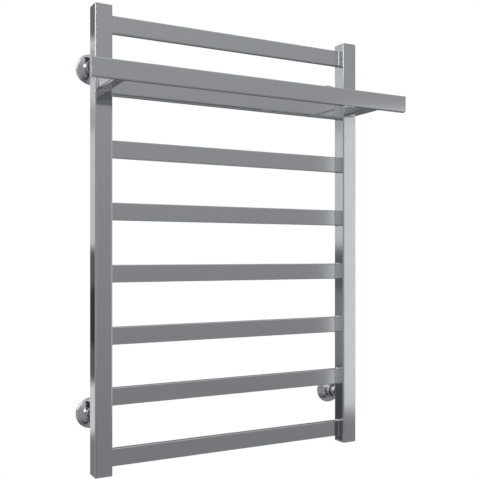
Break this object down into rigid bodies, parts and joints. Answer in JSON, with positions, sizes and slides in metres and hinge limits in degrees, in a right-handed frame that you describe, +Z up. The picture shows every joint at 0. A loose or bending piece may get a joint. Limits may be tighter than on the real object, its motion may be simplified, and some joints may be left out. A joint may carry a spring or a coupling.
{
  "type": "towel warmer rack",
  "caption": "Wall-hung ladder towel warmer of polished steel: flat rungs between two square posts, a shelf bar on two arms, and telescopic wall brackets under domed covers.",
  "frame": {"origin": "centre of the four wall screw holes, on the wall plane", "axes": "+Z up, +Y into the wall, +X to the right for someone facing the rack"},
  "size_m": [0.606, 0.179, 0.784],
  "materials": {
    "polished_steel": "mirror-polished stainless steel",
    "chromed_cover": "bright chrome plate",
    "turned_steel": "fine turned stainless steel",
    "black_steel": "black oxide",
    "plated_brass": "nickel-plated brass",
    "seal_rubber": "matt black rubber"
  },
  "bodies": {
    "wall_sockets": {"upper_left_wall_socket": "turned_steel", "upper_left_grub_screw": "black_steel", "upper_right_wall_socket": "turned_steel", "upper_right_grub_screw": "black_steel", "lower_left_wall_socket": "turned_steel", "lower_left_grub_screw": "black_steel", "lower_right_wall_socket": "turned_steel", "lower_right_grub_screw": "black_steel"},
    "rack": {"left_post": "polished_steel", "right_post": "polished_steel", "left_top_cap": "polished_steel", "right_top_cap": "polished_steel", "left_water_fitting": "turned_steel", "right_water_fitting": "turned_steel", "rung_1": "polished_steel", "rung_2": "polished_steel", "rung_3": "polished_steel", "rung_4": "polished_steel", "rung_5": "polished_steel", "rung_6": "polished_steel", "rung_7": "polished_steel", "rung_8": "polished_steel", "shelf_front_bar": "polished_steel", "shelf_left_end": "polished_steel", "shelf_right_end": "polished_steel", "shelf_left_arm": "polished_steel", "shelf_right_arm": "polished_steel", "vent_plug": "plated_brass", "vent_seal": "seal_rubber", "upper_left_post_pin": "turned_steel", "upper_right_post_pin": "turned_steel", "lower_left_post_pin": "turned_steel", "lower_right_post_pin": "turned_steel"},
    "upper_left_cover": {"upper_left_rosette": "chromed_cover", "upper_left_ring_seal": "seal_rubber"},
    "upper_right_cover": {"upper_right_rosette": "chromed_cover", "upper_right_ring_seal": "seal_rubber"},
    "lower_left_cover": {"lower_left_rosette": "chromed_cover", "lower_left_ring_seal": "seal_rubber"},
    "lower_right_cover": {"lower_right_rosette": "chromed_cover", "lower_right_ring_seal": "seal_rubber"},
    "bleed_screw": {"vent_bleed_screw": "plated_brass"}
  },
  "joints": [
    {"name": "rack_depth", "type": "slide", "parent": "wall_sockets", "child": "rack", "axis": [0, -1, 0], "range_m": [-0.006, 0.01]},
    {"name": "upper_left_cover_slide", "type": "slide", "parent": "wall_sockets", "child": "upper_left_cover", "axis": [0, -1, 0], "range_m": [0, 0.012]},
    {"name": "upper_right_cover_slide", "type": "slide", "parent": "wall_sockets", "child": "upper_right_cover", "axis": [0, -1, 0], "range_m": [0, 0.012]},
    {"name": "lower_left_cover_slide", "type": "slide", "parent": "wall_sockets", "child": "lower_left_cover", "axis": [0, -1, 0], "range_m": [0, 0.012]},
    {"name": "lower_right_cover_slide", "type": "slide", "parent": "wall_sockets", "child": "lower_right_cover", "axis": [0, -1, 0], "range_m": [0, 0.012]},
    {"name": "bleed_turn", "type": "hinge", "parent": "rack", "child": "bleed_screw", "pos_m": [0.25, -0.06, 0.388], "axis": [0, 0, 1], "range_deg": [0, 360]}
  ]
}
